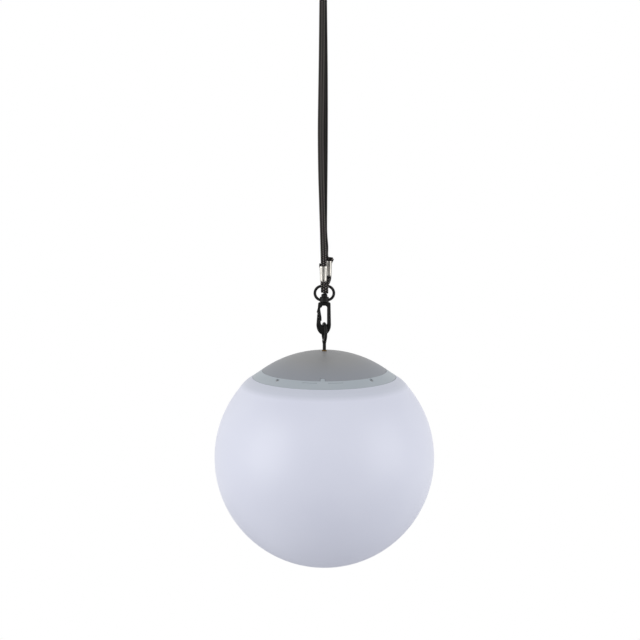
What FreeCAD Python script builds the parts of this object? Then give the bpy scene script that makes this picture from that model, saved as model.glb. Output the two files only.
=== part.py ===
"""A garden globe light: a solar lid in a white globe, hung by a snap hook from a doubled flat strap.

Millimetres, +Z up. The origin is the hang point: the inside top of the strap's fold, where it goes over a
rod or hook. The front, where the lid's key is, faces -Y. The globe's centre is on the Z axis.
"""

import FreeCAD, Part
import math
import os

from FreeCAD import Vector

os.makedirs("parts", exist_ok=True)

X_AXIS = Vector(1, 0, 0)
Y_AXIS = Vector(0, 1, 0)
Z_AXIS = Vector(0, 0, 1)

# Clearances
face_gap = 0.3          # between faces of pieces that move on each other
pin_gap = 0.05          # round a pin, a stem or a hinge stub, on the radius
slip_gap = 0.25         # round a fixed piece in its recess

# Strap: one flat braid, folded over the hang point, both ends crimped round the swivel ring
strap_width = 5.5
strap_thick = 1.8
strap_drop = 273.3      # hang point to the top of the swivel ring
hang_rod = 8.0          # diameter of the rod or hook that it goes over
eye_edge = 2.5          # width of the rear eye beside the front one
crimp_length = 14.1
crimp_top = (7.0, 5.2)  # outside, wide and deep
crimp_foot = (5.8, 4.2)
crimp_wall = 0.5
front_crimp_rise = 2.8  # foot above the top of the swivel ring
rear_crimp_rise = 7.2
front_crimp_at = (-0.9, -1.2)
rear_crimp_at = (4.4, 3.5)
rear_crimp_turn = -90.0
tail_length = 2.6       # cut ends that stand out of the crimps

# Swivel ring
ring_wide = 19.6
ring_high = 15.3
ring_wire = 2.5
barrel_diameter = 8.2
barrel_height = 4.6
barrel_drop = 11.1      # top of the ring to the top of the barrel

# Snap hook
hook_height = 29.6
hook_width = 13.2
hook_top_width = 11.2
hook_thick = 4.6
hook_bridge = 3.1       # top bar over the opening
hook_spine = 3.6
hook_throat = 5.6       # width of the opening
bow_offset = -0.6       # middle of the bow from the stem's axis
bow_bulge = 1.0         # the bow's widest level above its inside
bow_depth = 8.5
bow_round = 2.05        # edge rounding where the eye hangs
hook_edge = 0.9         # other edge roundings
nose_height = 11.2      # nose tip above the inside of the bow
nose_thick = 1.7
web_rim = 1.5
web_recess = 0.8
web_height = 4.2
stem_diameter = 3.0
rivet_diameter = 5.6
rivet_height = 2.6
gate_waist = 1.5        # thickness of the gate below its knuckle
gate_swell = 0.7        # its tip stands into the opening
gate_deep = 4.2
gate_tip = 4.4          # tip above the inside of the bow
gate_knuckle = 2.2      # width of the gate between the hook's cheeks
pin_diameter = 1.2
knuckle_wall = 1.0      # metal round the pin
pin_drop = 2.9          # pin below the top of the hook
pin_inset = 1.9         # pin from the hook's outer edge
gate_swing = 17.0
spring_wire = 0.35
spring_width = 1.0      # its coil, between the two ears of the gate's knuckle

# Eye bolt
eye_diameter = 18.1
eye_wire = 2.7
eye_turn = 10.0         # the eye's plane about Z
bolt_diameter = 3.1
bolt_show = 8.2         # eye to the top of the dome
bolt_inside = 14.0
ferrule_diameter = 4.4
ferrule_height = 1.1
washer_diameter = 9.0
washer_thick = 0.8
nut_flats = 5.5
nut_height = 2.6

# Solar dome
dome_inset = 1.7        # its curve inside the globe's
dome_wall = 2.0
dome_rim = 56.2         # radius of its edge
dome_edge_depth = 2.2
boss_diameter = 12.0
boss_depth = 6.0
key_width = 4.0
key_reach = 2.9
key_azimuth = 1.7       # the key from the front, towards -X

# Lid ring
lid_inset = 1.1         # its outer edge inside the globe's curve
lid_rim = 64.8
lid_bore = 52.5
lid_web = 4.0           # rebate floor to underside
lid_flange = 2.9        # height of the outer edge
skirt_outer = 62.7
skirt_wall = 1.8
skirt_depth = 10.8
slot_radius = 58.4
slot_width = 0.7
slot_deep = 0.8
slot_length = 13.6
slot_from_key = 2.8
gasket_thick = 0.5
screw_count = 4
screw_circle = 58.5
screw_head = 3.0
screw_head_height = 1.2
screw_slot = 0.5
screw_shank = 1.8
screw_length = 7.0
screw_boss = 3.7
screw_boss_depth = 6.0

# Globe
globe_radius = 100.0
globe_wall = 2.0
lip_stand = 0.3         # the rolled lip stands this far out
lip_width = 5.1         # mouth to the lip's crease
lip_crown = 2.2         # degrees from the crease to the lip's highest point
lip_span = 6.0          # degrees from the crease to where the lip leaves the sphere
neck_wall = 2.0
neck_depth = 11.0

# Solar panel and its tray
tray_thick = 2.0
wire_hole = 8.0
panel_space = 2.5       # round the panel, inside the lid ring's bore
panel_thick = 2.4
cell_size = 33.0
cell_thick = 0.3
cell_space = 1.4
cell_count = 2          # along each side

# Light housing, under the tray
housing_diameter = 92.0
housing_depth = 26.0
housing_wall = 2.0
flange_reach = 6.0      # the flange beyond the cup, with its screws at half of it
housing_screw_count = 3
housing_screw_head = 4.6
board_thick = 1.6
light_board_inset = 2.5 # its edge inside the housing's
light_board_band = 9.0  # width of the ring
light_count = 8
light_size = 3.5
light_height = 1.4
cover_depth = 5.0
cover_wall = 1.2

# Battery bay, door and switch
battery_diameter = 14.0
battery_length = 49.0
button_end = 1.0        # the raised end of the cell
contact_space = 4.0
bay_wall = 1.5
bay_clear = 0.6
door_thick = 1.4
door_lap = 1.6
hinge_stub = 1.6
hinge_lug = 2.0
door_swing = 100.0
button_diameter = 7.0
button_travel = 1.2
button_rim = 0.9
button_at = -21.5
button_show = 2.6
switch_size = 7.0
switch_height = 5.0
main_board = (44.0, 20.0)
post_diameter = 5.0
board_rise = 11.0       # housing floor to the main board

# Places that follow from the sizes
bar_top = -strap_drop
bar_z = bar_top - ring_wire / 2
barrel_top = bar_top - barrel_drop
hook_top = barrel_top - barrel_height - face_gap
hook_foot = hook_top - hook_height
bow_top = hook_foot + bow_depth
eye_z = bow_top + face_gap + eye_wire - eye_diameter / 2
apex = eye_z - eye_diameter / 2 - bolt_show
dome_radius = globe_radius - dome_inset
lid_radius = globe_radius - lid_inset
lip_radius = globe_radius + lip_stand
centre = apex - dome_radius
rim_top = centre + math.sqrt(dome_radius**2 - dome_rim**2)
rim_foot = rim_top - dome_edge_depth
rebate = rim_foot - gasket_thick
web_foot = rebate - lid_web
lid_edge = centre + math.sqrt(lid_radius**2 - lid_rim**2)
flange_foot = lid_edge - lid_flange
skirt_inner = skirt_outer - skirt_wall
tray_radius = skirt_inner - 2 * slip_gap
tray_foot = web_foot - tray_thick
panel_diameter = 2 * (lid_bore - panel_space)
housing_foot = tray_foot - housing_depth
housing_floor = housing_foot + housing_wall
ledge = flange_foot - gasket_thick - face_gap
neck_inner = skirt_outer + face_gap
mouth = lid_rim + face_gap
bay_width = battery_diameter + 2 * bay_clear
bay_length = battery_length + button_end + contact_space
battery_z = housing_foot + battery_diameter / 2 + 2 * bay_clear
bay_top = battery_z + battery_diameter / 2 + bay_clear
housing_flange = housing_diameter + 2 * flange_reach
housing_screw_circle = housing_diameter + flange_reach
light_board_outer = housing_diameter - 2 * light_board_inset
light_board_inner = light_board_outer - 2 * light_board_band
hinge_y = bay_width / 2 + door_lap + hinge_stub / 2
hinge_z = housing_foot - face_gap - door_thick / 2
pin_x = -hook_top_width / 2 + pin_inset
pin_z = hook_top - pin_drop
hook_shoulder = bow_top + bow_bulge
hook_left = bow_offset - hook_width / 2
hook_right = bow_offset + hook_width / 2
throat_right = hook_right - hook_spine
throat_left = throat_right - hook_throat
nose_inside = hook_left + nose_thick
nose_top = bow_top + nose_height
window_round = hook_throat / 3
window_low = 0.4 * hook_throat
gate_foot = bow_top + gate_tip
gate_inside = nose_inside + face_gap
gate_outside = hook_left + face_gap
knuckle_radius = pin_diameter / 2 + knuckle_wall
cheek_radius = knuckle_radius + 2 * face_gap / 3
spring_outer = pin_diameter / 2 + 2 * pin_gap + spring_wire
knuckle_right = pin_x + knuckle_radius + face_gap
boss_foot = apex - boss_depth
lip_break = math.degrees(math.asin((mouth + lip_width) / globe_radius))
lip_angle = lip_break + lip_crown
lip_start = lip_break + lip_span
door_half_length = bay_length / 2 + door_lap + hinge_lug
board_foot = housing_floor + board_rise
board_y = button_at - main_board[1] / 6


# ---- shapes ----

def at(x, y, z):
    return Vector(x, y, z)


def box(low, high):
    size = high - low
    return Part.makeBox(size.x, size.y, size.z, low)


def rod(radius, start, end):
    return Part.makeCylinder(radius, (end - start).Length, start, end - start)


def tube(outer, inner, low, high):
    """An upright round tube about the Z axis."""
    wall = rod(outer, at(0, 0, low), at(0, 0, high))
    return wall.cut(rod(inner, at(0, 0, low - 1), at(0, 0, high + 1)))


def polygon(points):
    return Part.Face(Part.makePolygon(list(points) + [points[0]]))


def revolved(edges):
    """A solid of revolution about Z from the closed outline in the XZ plane."""
    return Part.Face(Part.Wire(edges)).revolve(at(0, 0, 0), Z_AXIS, 360)


def line(start, end):
    return Part.makeLine(start, end)


def on_sphere(radius, angle):
    """The point in the XZ plane at this angle from the top of a sphere about the globe's centre."""
    turn = math.radians(angle)
    return at(radius * math.sin(turn), 0, centre + radius * math.cos(turn))


def arc_of_sphere(radius, first, last):
    points = [on_sphere(radius, a) for a in (first, (first + last) / 2, last)]
    return Part.Arc(*points).toShape()


def angle_at(radius, reach):
    return math.degrees(math.asin(reach / radius))


def turned(shape, angle, place=Vector(0, 0, 0), axis=Z_AXIS):
    copy = shape.copy()
    copy.rotate(place, axis, angle)
    return copy


def moved(shape, x, y, z):
    copy = shape.copy()
    copy.translate(at(x, y, z))
    return copy


def around(shape, count, first=0.0):
    return [turned(shape, first + 360.0 * i / count) for i in range(count)]


def edges_where(shape, test):
    return [e for e in shape.Edges if test(e)]


def save(name, *shapes):
    """Writes a node, and prints its solids, its volume and whether it is valid."""
    shape = shapes[0] if len(shapes) == 1 else Part.makeCompound(list(shapes))
    solids = shape.Solids
    good = all(s.isValid() and s.Volume > 0 for s in solids)
    shape = solids[0] if len(solids) == 1 else Part.makeCompound(solids)
    shape.exportStep("parts/" + name + ".step")
    print(name, len(solids), round(sum(s.Volume for s in solids), 2), "valid" if good else "NOT VALID")


# ---- strap, its eyes and crimps ----

def strap_route():
    """The points of the strap's middle line, from the front crimp over the hang point to the rear crimp."""
    over = hang_rod / 2 + strap_thick / 2
    top = strap_thick / 2
    layer = strap_thick / 2 + slip_gap / 4
    front_end = bar_top + front_crimp_rise + crimp_length
    rear_end = bar_top + rear_crimp_rise + crimp_length
    return [
        at(-0.55, front_crimp_at[1] - layer, front_end),
        at(-1.25, -2.8, -227.0),
        at(-3.7, -3.7, -150.0),
        at(-2.55, -4.4, -82.0),
        at(-1.6, -over, top),
        at(-0.6, over, top),
        at(0.45, 4.5, -87.0),
        at(0.5, 4.1, -147.0),
        at(-0.1, 3.7, -207.0),
        at(-0.15, 3.6, -236.0),
        at(rear_crimp_at[0] - layer, rear_crimp_at[1], rear_end),
    ]


def rounded_path(points):
    """Straight runs joined by tangent arcs, each as large as 0.45 of its shorter run allows."""
    edges = []
    radii = []
    last = points[0]
    for before, corner, after in zip(points, points[1:], points[2:]):
        back = (before - corner).normalize()
        ahead = (after - corner).normalize()
        turn = math.pi - back.getAngle(ahead)
        reach = 0.45 * min((before - corner).Length, (after - corner).Length)
        radius = reach / math.tan(turn / 2)
        middle = (back + ahead).normalize() * (radius / math.cos(turn / 2) - radius)
        start = corner + back * reach
        end = corner + ahead * reach
        edges.append(line(last, start))
        edges.append(Part.Arc(start, corner + middle, end).toShape())
        radii.append(round(radius, 1))
        last = end
    edges.append(line(last, points[-1]))
    return Part.Wire(edges), radii


def make_strap():
    """The strap from crimp to crimp. Its last run turns edge-on into the rear crimp."""
    route = strap_route()
    path, radii = rounded_path(route[:-1])
    start = route[0]
    section = section_at(start.x, start.y, start.z, strap_width, strap_thick)
    sweep = Part.BRepOffsetAPI.MakePipeShell(path)
    sweep.setBiNormalMode(X_AXIS)
    sweep.add(section, False, False)
    sweep.build()
    sweep.makeSolid()
    strap = sweep.shape()
    plain = strap_width * strap_thick * path.Length
    bend, end = route[-2], route[-1]
    wide = section_at(bend.x, bend.y, bend.z, strap_width, strap_thick)
    edge_on = section_at(end.x, end.y, end.z, strap_thick, crimp_foot[0] - 2 * crimp_wall)
    last = Part.makeLoft([wide, edge_on], True, True)
    length = path.Length + (end - bend).Length
    print("strap length", round(length, 1), "radii", radii, "fill", round(strap.Volume / plain, 3))
    return strap.fuse(last)


def section_at(x, y, z, wide, deep):
    corners = [(-1, -1), (1, -1), (1, 1), (-1, 1), (-1, -1)]
    return Part.makePolygon([at(x + a * wide / 2, y + b * deep / 2, z) for a, b in corners])


def half_loop(inner, low_x, high_x):
    """The lower half of a strap's turn round the ring's bar."""
    turn = rod(inner + strap_thick, at(low_x, 0, bar_z), at(high_x, 0, bar_z))
    turn = turn.cut(rod(inner, at(low_x - 1, 0, bar_z), at(high_x + 1, 0, bar_z)))
    reach = inner + 2 * strap_thick
    return turn.cut(box(at(low_x - 1, -reach, bar_z), at(high_x + 1, reach, bar_z + reach)))


def make_front_eye():
    """The front end's eye: down in front of the bar, under it, and up behind into the crimp."""
    inner = ring_wire / 2 + face_gap / 3
    foot = bar_top + front_crimp_rise
    half = strap_width / 2 - face_gap / 3
    shape = half_loop(inner, -half, half)
    beside = bar_z + inner
    for side in (-1, 1):
        leg_y = side * (inner + strap_thick / 2)
        leg = box(at(-half, leg_y - strap_thick / 2, bar_z), at(half, leg_y + strap_thick / 2, beside))
        low = section_at(0, leg_y, beside, 2 * half, strap_thick)
        top_y = front_crimp_at[1] + side * (strap_thick / 2 + pin_gap)
        high = section_at(front_crimp_at[0], top_y, foot, crimp_foot[0] - 4 * crimp_wall, strap_thick)
        shape = shape.fuse([leg, Part.makeLoft([low, high], True, True)])
    return shape


def make_rear_eye():
    """The rear end's eye: it passes under the front one, and its edge goes up beside it to the rear crimp."""
    inner = ring_wire / 2 + strap_thick + 2 * face_gap / 3
    foot = bar_top + rear_crimp_rise
    left = strap_width / 2 + face_gap / 3
    right = left + eye_edge
    middle = (left + right) / 2
    shape = half_loop(inner, right - strap_width - face_gap, right)
    for side in (-1, 1):
        low = section_at(middle, side * (inner + strap_thick / 2), bar_z, eye_edge, strap_thick)
        top_x = rear_crimp_at[0] + side * (strap_thick / 2 + pin_gap)
        high = section_at(top_x, rear_crimp_at[1], foot, strap_thick, crimp_foot[0] - 4 * crimp_wall)
        shape = shape.fuse(Part.makeLoft([low, high], True, True))
    return shape


def oval(size, x, y, z, turn):
    """A flat-sided oval across a crimp."""
    wide, deep = size
    flat = (wide - deep) / 2
    radius = deep / 2
    edges = [
        line(at(-flat, -radius, 0), at(flat, -radius, 0)),
        Part.Arc(at(flat, -radius, 0), at(flat + radius, 0, 0), at(flat, radius, 0)).toShape(),
        line(at(flat, radius, 0), at(-flat, radius, 0)),
        Part.Arc(at(-flat, radius, 0), at(-flat - radius, 0, 0), at(-flat, -radius, 0)).toShape(),
    ]
    wire = Part.Wire(edges)
    wire.rotate(Vector(0, 0, 0), Z_AXIS, turn)
    wire.translate(at(x, y, z))
    return wire


def make_crimp(place, rise, turn):
    """A folded ferrule, pressed narrower towards the ring. The seam where its two edges meet is in front."""
    x, y = place
    foot = bar_top + rise
    top = foot + crimp_length
    outline = [oval(crimp_foot, x, y, foot, turn), oval(crimp_top, x, y, top, turn)]
    outside = Part.makeLoft(outline, True, True)
    thin = 2 * crimp_wall
    feet = (crimp_foot[0] - thin, crimp_foot[1] - thin)
    tops = (crimp_top[0] - thin, crimp_top[1] - thin)
    inside = Part.makeLoft([oval(feet, x, y, foot, turn), oval(tops, x, y, top, turn)], True, True)
    seam = box(at(x - crimp_wall / 2, y - crimp_top[0], foot), at(x + crimp_wall / 2, y, top))
    return outside.cut(inside).cut(seam.cut(inside))


def make_tail(place, rise, turn):
    """The strap pressed inside the crimp, and its cut end, which stands out of the top."""
    x, y = place
    foot = bar_top + rise
    top = foot + crimp_length
    thin = 2 * crimp_wall + slip_gap / 2
    feet = (crimp_foot[0] - thin, crimp_foot[1] - thin)
    tops = (crimp_top[0] - thin, crimp_top[1] - thin)
    pressed = Part.makeLoft([oval(feet, x, y, foot, turn), oval(tops, x, y, top, turn)], True, True)
    half = strap_width / 2 - slip_gap
    end = box(at(-half, slip_gap / 4, top), at(half, strap_thick, top + tail_length))
    end.rotate(Vector(0, 0, 0), Z_AXIS, turn)
    end.translate(at(x, y, 0))
    return pressed.fuse(end)


# ---- swivel ring ----

def make_swivel_ring():
    """A flat-topped oval of round wire, with the barrel that the hook's stem turns in."""
    wire = ring_wire / 2
    bend = ring_high / 2 - wire
    flat = ring_wide / 2 - ring_high / 2
    middle = bar_top - ring_high / 2
    shape = rod(wire, at(-flat, 0, middle + bend), at(flat, 0, middle + bend))
    shape = shape.fuse(rod(wire, at(-flat, 0, middle - bend), at(flat, 0, middle - bend)))
    for side in (-1, 1):
        end = Part.makeTorus(bend, wire, at(side * flat, 0, middle), Y_AXIS)
        low = at(min(side * flat, side * ring_wide), -ring_wire, bar_top - ring_high - 1)
        high = at(max(side * flat, side * ring_wide), ring_wire, bar_top + 1)
        shape = shape.fuse(end.common(box(low, high)))
    foot = barrel_top - barrel_height
    barrel = rod(barrel_diameter / 2, at(0, 0, foot), at(0, 0, barrel_top))
    barrel = barrel.makeChamfer(wire / 4, [e for e in barrel.Edges if e.Closed])
    bore = rod(stem_diameter / 2 + pin_gap, at(0, 0, foot - 1), at(0, 0, barrel_top + 1))
    return shape.fuse(barrel).removeSplitter().cut(bore)


# ---- snap hook ----

def bow_curve(half_wide, foot, shoulder):
    """The lower half of an ellipse in the XZ plane, deeper than it is wide, about the bow's middle."""
    middle = bow_offset
    ellipse = Part.Ellipse(at(middle, 0, foot), at(middle + half_wide, 0, shoulder), at(middle, 0, shoulder))
    return Part.ArcOfEllipse(ellipse, -math.pi / 2, math.pi / 2).toShape()


def slab(edges, low_y, high_y):
    """A flat plate with this outline in the XZ plane."""
    face = Part.Face(Part.Wire(Part.__sortEdges__(edges)))
    return moved(face, 0, low_y, 0).extrude(at(0, high_y - low_y, 0))


def rounded_window(low_x, high_x, low_z, high_z, low_round, high_round, half):
    """An upright window through the hook, with its corners rounded."""
    window = box(at(low_x, -half, low_z), at(high_x, half, high_z))
    low = edges_where(window, lambda e: upright_corner(e, low_z))
    window = window.makeFillet(low_round, low)
    high = edges_where(window, lambda e: upright_corner(e, high_z))
    return window.makeFillet(high_round, high)


def upright_corner(edge, z):
    """Whether an edge runs along Y at this height."""
    first, last = edge.firstVertex().Point, edge.lastVertex().Point
    return abs(first.z - z) < 0.01 and abs(last.z - z) < 0.01 and abs(first.y - last.y) > 1


def make_hook_blank():
    """The cast body without its openings and with sharp edges: flared sides and an elliptical bow."""
    half_top = hook_top_width / 2
    corners = [
        at(hook_left, 0, hook_shoulder),
        at(-half_top, 0, hook_top - hook_edge),
        at(-half_top + hook_edge, 0, hook_top),
        at(half_top - hook_edge, 0, hook_top),
        at(half_top, 0, hook_top - hook_edge),
        at(hook_right, 0, hook_shoulder),
    ]
    edges = [line(a, b) for a, b in zip(corners, corners[1:])]
    edges.append(bow_curve(hook_width / 2, hook_foot, hook_shoulder))
    return slab(edges, -hook_thick / 2, hook_thick / 2)


def make_web_recess():
    """The sunk crescent in one face of the bow, between its outer rim and the rim of the opening."""
    outer_half = hook_width / 2 - web_rim
    edges = [
        bow_curve(outer_half, hook_foot + web_rim, hook_shoulder),
        line(at(bow_offset + outer_half, 0, hook_shoulder), at(bow_offset - outer_half, 0, hook_shoulder)),
    ]
    crescent = slab(edges, -hook_thick, -hook_thick / 2 + web_recess)
    island = rounded_window(
        throat_left - web_rim, throat_right + web_rim, bow_top - bow_round - web_rim / 2, hook_top,
        bow_round + web_rim / 2, hook_edge, 2 * hook_thick,
    )
    return crescent.cut(island)


def make_hook_body():
    """The cast body: opening, nose and seat for the gate, cheeks for its pin, and the riveted stem."""
    half = hook_thick / 2
    blank = make_hook_blank()
    rims = edges_where(blank, lambda e: abs(abs(e.CenterOfMass.y) - half) < 0.01)
    rounded = blank.makeFillet(hook_edge, rims)
    opening = rounded_window(
        throat_left, throat_right, bow_top, hook_top - hook_bridge, window_low, window_round, hook_thick,
    )
    body = blank.cut(opening)
    body = body.makeFillet(bow_round, edges_where(body, is_bow_edge)).common(rounded)
    recess = make_web_recess()
    body = body.cut(recess).cut(recess.mirror(at(0, 0, 0), Y_AXIS))
    outside = -hook_width
    seat = gate_foot - face_gap
    body = body.cut(box(at(nose_inside, -hook_thick, seat), at(throat_left + 1, hook_thick, nose_top)))
    window_top = pin_z - cheek_radius - face_gap
    body = body.cut(box(at(outside, -hook_thick, nose_top), at(throat_left + 1, hook_thick, window_top)))
    slot = gate_knuckle / 2 + pin_gap
    slot_top = pin_z + knuckle_radius + face_gap
    body = body.cut(box(at(outside, -slot, nose_top), at(knuckle_right, slot, slot_top)))
    for side in (-1, 1):
        low_y, high_y = sorted((side * slot, side * half))
        body = body.fuse(rod(cheek_radius, at(pin_x, low_y, pin_z), at(pin_x, high_y, pin_z)))
    body = body.cut(rod(pin_diameter / 2, at(pin_x, -hook_thick, pin_z), at(pin_x, hook_thick, pin_z)))
    head_foot = barrel_top + face_gap
    stem = rod(stem_diameter / 2, at(0, 0, hook_top - hook_bridge / 2), at(0, 0, head_foot))
    head = rod(rivet_diameter / 2, at(0, 0, head_foot), at(0, 0, head_foot + rivet_height))
    top = [e for e in head.Edges if e.Closed and e.CenterOfMass.z > head_foot + rivet_height / 2]
    head = head.makeFillet(rivet_height / 2, top)
    return body.fuse([stem, head]).removeSplitter()


def is_bow_edge(edge):
    """Whether an edge is on the faces of the hook, round the lower end of its opening."""
    middle = edge.CenterOfMass
    low = bow_top - 0.01 < middle.z < bow_top + window_low
    return low and abs(abs(middle.y) - hook_thick / 2) < 0.01 and throat_left < middle.x < throat_right


def make_gate():
    """The sprung gate: a knuckle between the cheeks, a full-depth lever, and a tip behind the nose."""
    top = pin_z - cheek_radius - 2 * face_gap
    outer = pin_x - knuckle_radius
    inner = throat_left + gate_swell
    waist = outer + gate_waist
    corners = [
        at(outer, 0, pin_z),
        at(gate_outside, 0, nose_top + 3 * face_gap),
        at(gate_inside, 0, nose_top + face_gap),
        at(gate_inside, 0, gate_foot),
        at(inner - hook_edge / 2, 0, gate_foot),
        at(inner, 0, gate_foot + hook_edge / 2),
        at(inner, 0, gate_foot + hook_edge * 3),
        at(throat_left, 0, nose_top),
        at(waist, 0, pin_z - cheek_radius - knuckle_wall),
        at(pin_x + knuckle_radius, 0, pin_z),
    ]
    outline = [line(a, b) for a, b in zip(corners, corners[1:] + corners[:1])]
    knuckle = gate_knuckle / 2
    thin = slab(outline, -knuckle, knuckle)
    thin = thin.fuse(rod(knuckle_radius, at(pin_x, -knuckle, pin_z), at(pin_x, knuckle, pin_z)))
    lever = slab(outline, -gate_deep / 2, gate_deep / 2)
    lever = lever.common(box(at(-hook_width, -hook_thick, hook_foot), at(hook_width, hook_thick, top)))
    gate = thin.fuse(lever).removeSplitter()
    hole = pin_diameter / 2 + pin_gap
    gate = gate.cut(rod(hole, at(pin_x, -hook_thick, pin_z), at(pin_x, hook_thick, pin_z)))
    room = spring_width / 2 + pin_gap
    reach = 2 * knuckle_radius
    pocket_foot = pin_z - spring_outer - face_gap
    pocket = box(at(pin_x - reach, -room, pocket_foot), at(pin_x + reach, room, pin_z + reach))
    return gate.cut(pocket)


def make_gate_pin():
    return rod(pin_diameter / 2, at(pin_x, -hook_thick / 2, pin_z), at(pin_x, hook_thick / 2, pin_z))


def make_gate_spring():
    """The torsion spring on the pin, as a sleeve of its coil's size, with the leg that bears on the hook."""
    half = spring_width / 2
    coil = rod(spring_outer, at(pin_x, -half, pin_z), at(pin_x, half, pin_z))
    leg_x = pin_x + spring_outer - spring_wire / 2
    leg = rod(spring_wire / 2, at(leg_x, 0, pin_z), at(leg_x, 0, pin_z + knuckle_radius + face_gap))
    inner = spring_outer - spring_wire
    return coil.fuse(leg).cut(rod(inner, at(pin_x, -2 * half, pin_z), at(pin_x, 2 * half, pin_z)))


# ---- eye bolt and its fasteners ----

def make_eye_bolt():
    """A closed eye of round wire, hung in the bow, with its bolt through the top of the dome."""
    ring = Part.makeTorus((eye_diameter - eye_wire) / 2, eye_wire / 2, at(0, 0, eye_z), X_AXIS)
    eye_foot = eye_z - eye_diameter / 2
    neck_top = eye_foot + eye_wire / 2
    neck = Part.makeCone(bolt_diameter / 2, eye_wire * 0.8, eye_wire, at(0, 0, eye_foot - eye_wire / 2))
    bolt = rod(bolt_diameter / 2, at(0, 0, apex - bolt_inside), at(0, 0, neck_top))
    inside = rod((eye_diameter - 2 * eye_wire) / 2, at(-eye_wire, 0, eye_z), at(eye_wire, 0, eye_z))
    eye = ring.fuse([neck.cut(inside), bolt]).removeSplitter()
    return turned(eye, eye_turn)


def make_ferrule():
    """The small brass collar where the bolt enters the dome."""
    high = apex + ferrule_height
    collar = tube(ferrule_diameter / 2, bolt_diameter / 2, apex - dome_wall / 4, high)
    top = [e for e in collar.Edges if e.Closed and abs(e.BoundBox.ZMin - high) < 0.01]
    outer = max(top, key=lambda e: e.Length)
    return collar.makeChamfer(ferrule_height / 4, [outer])


def make_eye_washer():
    high = boss_foot
    return tube(washer_diameter / 2, bolt_diameter / 2 + pin_gap, high - washer_thick, high)


def make_eye_nut():
    high = boss_foot - washer_thick
    across = nut_flats / math.sqrt(3)
    corners = [at(across * math.cos(math.radians(60 * i)), across * math.sin(math.radians(60 * i)), high)
               for i in range(6)]
    nut = polygon(corners).extrude(at(0, 0, -nut_height))
    return nut.cut(rod(bolt_diameter / 2, at(0, 0, high - 2 * nut_height), at(0, 0, high + 1)))


# ---- solar dome and lid ring ----

def key_block(wide, inner, outer, low, high):
    """A block across the dome's edge at the key, from one radius to the other."""
    block = box(at(-wide / 2, -outer, low), at(wide / 2, -inner, high))
    return turned(block, -key_azimuth)


def make_dome():
    """The cap over the solar panel: a shallow shell with a boss for the bolt and a notch for the key."""
    inner_radius = dome_radius - dome_wall
    inner_rim = dome_rim - dome_edge_depth
    inner_top = centre + math.sqrt(inner_radius**2 - inner_rim**2)
    edges = [
        arc_of_sphere(dome_radius, 0, angle_at(dome_radius, dome_rim)),
        line(at(dome_rim, 0, rim_top), at(dome_rim, 0, rim_foot)),
        line(at(dome_rim, 0, rim_foot), at(inner_rim, 0, rim_foot)),
        line(at(inner_rim, 0, rim_foot), at(inner_rim, 0, inner_top)),
        arc_of_sphere(inner_radius, angle_at(inner_radius, inner_rim), 0),
        line(at(0, 0, apex - dome_wall), at(0, 0, apex)),
    ]
    dome = revolved(edges)
    boss = rod(boss_diameter / 2, at(0, 0, boss_foot), at(0, 0, apex - dome_wall / 2))
    bore = rod(bolt_diameter / 2 + pin_gap, at(0, 0, boss_foot - 1), at(0, 0, apex + 1))
    collar = rod(ferrule_diameter / 2, at(0, 0, apex - dome_wall / 4), at(0, 0, apex + 1))
    notch = key_block(key_width + 2 * slip_gap, dome_rim - key_reach - slip_gap, dome_rim + 2, web_foot, apex)
    return dome.fuse(boss).cut(bore.fuse(collar)).cut(notch)


def make_dome_gasket():
    gasket = tube(dome_rim - face_gap / 2, dome_rim - dome_edge_depth + face_gap / 2, rebate, rim_foot)
    notch = key_block(key_width + 2 * slip_gap, dome_rim - key_reach - slip_gap, dome_rim + 2, web_foot, apex)
    return gasket.cut(notch)


def make_lid_ring():
    """The translucent ring that carries the dome and screws into the globe's neck."""
    inner = dome_rim + slip_gap
    inner_top = ring_surface(inner)
    edges = [
        line(at(inner, 0, inner_top), at(lid_rim, 0, lid_edge)),
        line(at(lid_rim, 0, lid_edge), at(lid_rim, 0, flange_foot)),
        line(at(lid_rim, 0, flange_foot), at(skirt_outer, 0, flange_foot)),
        line(at(skirt_outer, 0, flange_foot), at(skirt_outer, 0, flange_foot - skirt_depth)),
        line(at(skirt_outer, 0, flange_foot - skirt_depth), at(skirt_inner, 0, flange_foot - skirt_depth)),
        line(at(skirt_inner, 0, flange_foot - skirt_depth), at(skirt_inner, 0, web_foot)),
        line(at(skirt_inner, 0, web_foot), at(lid_bore, 0, web_foot)),
        line(at(lid_bore, 0, web_foot), at(lid_bore, 0, rebate)),
        line(at(lid_bore, 0, rebate), at(inner, 0, rebate)),
        line(at(inner, 0, rebate), at(inner, 0, inner_top)),
    ]
    ring = revolved(edges)
    key = key_block(key_width, dome_rim - key_reach, dome_rim + 1, rebate, apex)
    cap = Part.makeSphere(dome_radius - face_gap, at(0, 0, centre))
    ring = ring.fuse(key.common(cap))
    for slot in lid_slots():
        ring = ring.cut(slot)
    screw = at(0, -screw_circle, 0)
    hole = rod(screw_shank / 2, screw + at(0, 0, web_foot - 1), screw + at(0, 0, apex))
    for bore in screw_places(hole):
        ring = ring.cut(bore)
    for seat in screw_places(screw_seat()):
        ring = ring.cut(seat)
    return ring.removeSplitter()


def ring_surface(reach):
    """Height of the ring's sloping upper face at this radius."""
    inner = dome_rim + slip_gap
    inner_top = centre + math.sqrt(dome_radius**2 - inner**2)
    return inner_top + (lid_edge - inner_top) * (reach - inner) / (lid_rim - inner)


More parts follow.
